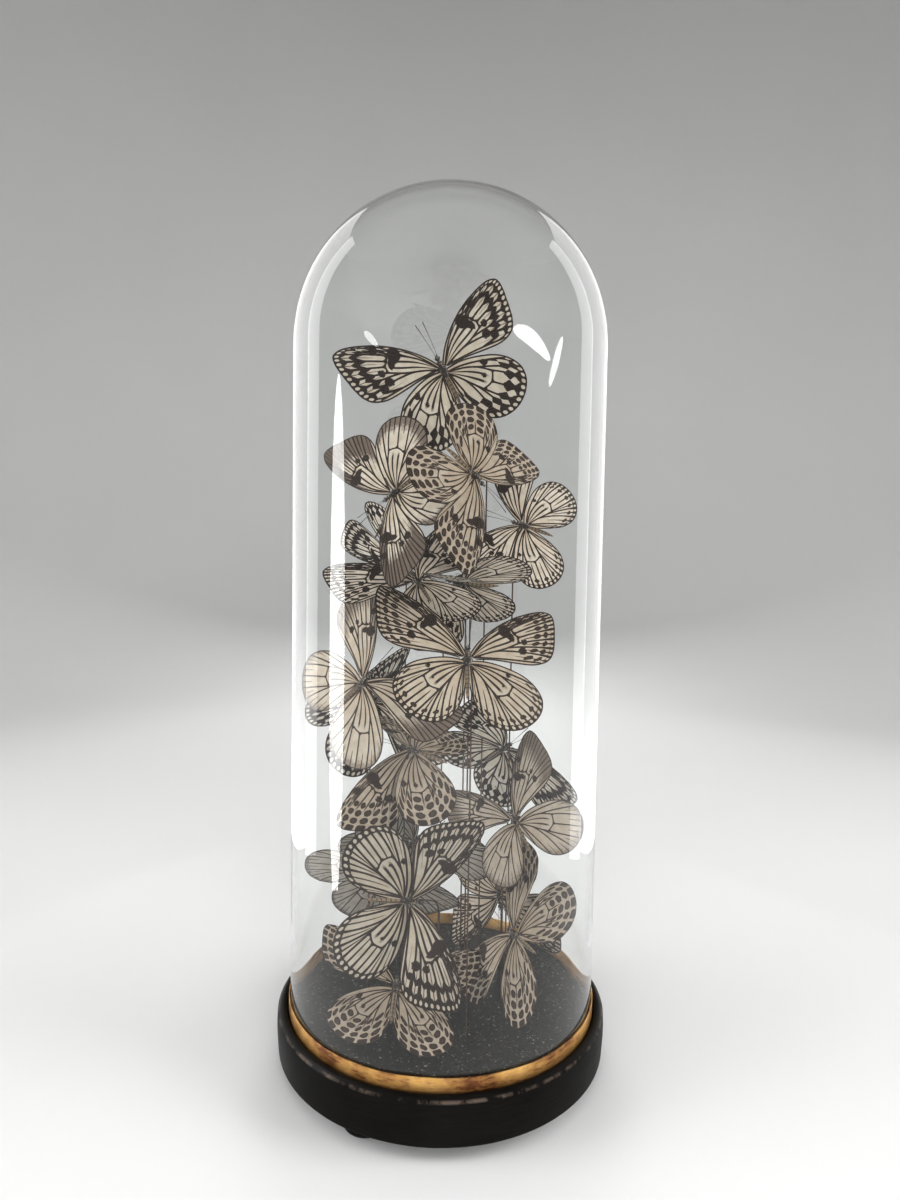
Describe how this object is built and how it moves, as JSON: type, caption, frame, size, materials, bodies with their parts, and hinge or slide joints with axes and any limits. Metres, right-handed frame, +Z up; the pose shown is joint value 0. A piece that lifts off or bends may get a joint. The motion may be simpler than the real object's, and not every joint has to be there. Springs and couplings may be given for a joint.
{
  "type": "butterflies under a glass dome",
  "caption": "Tall round-topped glass dome on a black turned wooden base with bun feet, holding a cloud of black and cream butterflies on thin wires.",
  "frame": {"origin": "middle of the base, on the surface that its three bun feet stand on", "axes": "+Z up along the axis of the dome; -Y towards the side that the display is seen from"},
  "size_m": [0.2166, 0.2166, 0.559],
  "materials": {
    "ebonised_wood": "black paint, semi-gloss, with fine grain and worn edges",
    "painted_board": "matt dark grey-green paint, mottled",
    "gold_ribbon": "mottled gold to red-brown, satin",
    "clear_glass": "clear blown glass, polished",
    "butterfly_wing": "dry, matt wing scales, cream with dark brown veins and spots",
    "dark_wire": "dark brown, satin"
  },
  "bodies": {
    "root": {"turned_base": "ebonised_wood", "foot_1": "ebonised_wood", "foot_2": "ebonised_wood", "foot_3": "ebonised_wood", "floor_disc": "painted_board", "gold_band": "gold_ribbon", "glass_dome": "clear_glass", "butterfly_01": "butterfly_wing", "wire_01": "dark_wire", "butterfly_02": "butterfly_wing", "wire_02": "dark_wire", "butterfly_03": "butterfly_wing", "wire_03": "dark_wire", "butterfly_04": "butterfly_wing", "wire_04": "dark_wire", "butterfly_05": "butterfly_wing", "wire_05": "dark_wire", "butterfly_06": "butterfly_wing", "wire_06": "dark_wire", "butterfly_07": "butterfly_wing", "wire_07": "dark_wire", "butterfly_08": "butterfly_wing", "wire_08": "dark_wire", "butterfly_09": "butterfly_wing", "wire_09": "dark_wire", "butterfly_10": "butterfly_wing", "wire_10": "dark_wire", "butterfly_11": "butterfly_wing", "wire_11": "dark_wire", "butterfly_12": "butterfly_wing", "wire_12": "dark_wire", "butterfly_13": "butterfly_wing", "wire_13": "dark_wire", "butterfly_14": "butterfly_wing", "wire_14": "dark_wire", "butterfly_15": "butterfly_wing", "wire_15": "dark_wire", "butterfly_16": "butterfly_wing", "wire_16": "dark_wire", "butterfly_17": "butterfly_wing", "wire_17": "dark_wire", "butterfly_18": "butterfly_wing", "wire_18": "dark_wire", "butterfly_19": "butterfly_wing", "wire_19": "dark_wire"}
  },
  "joints": []
}
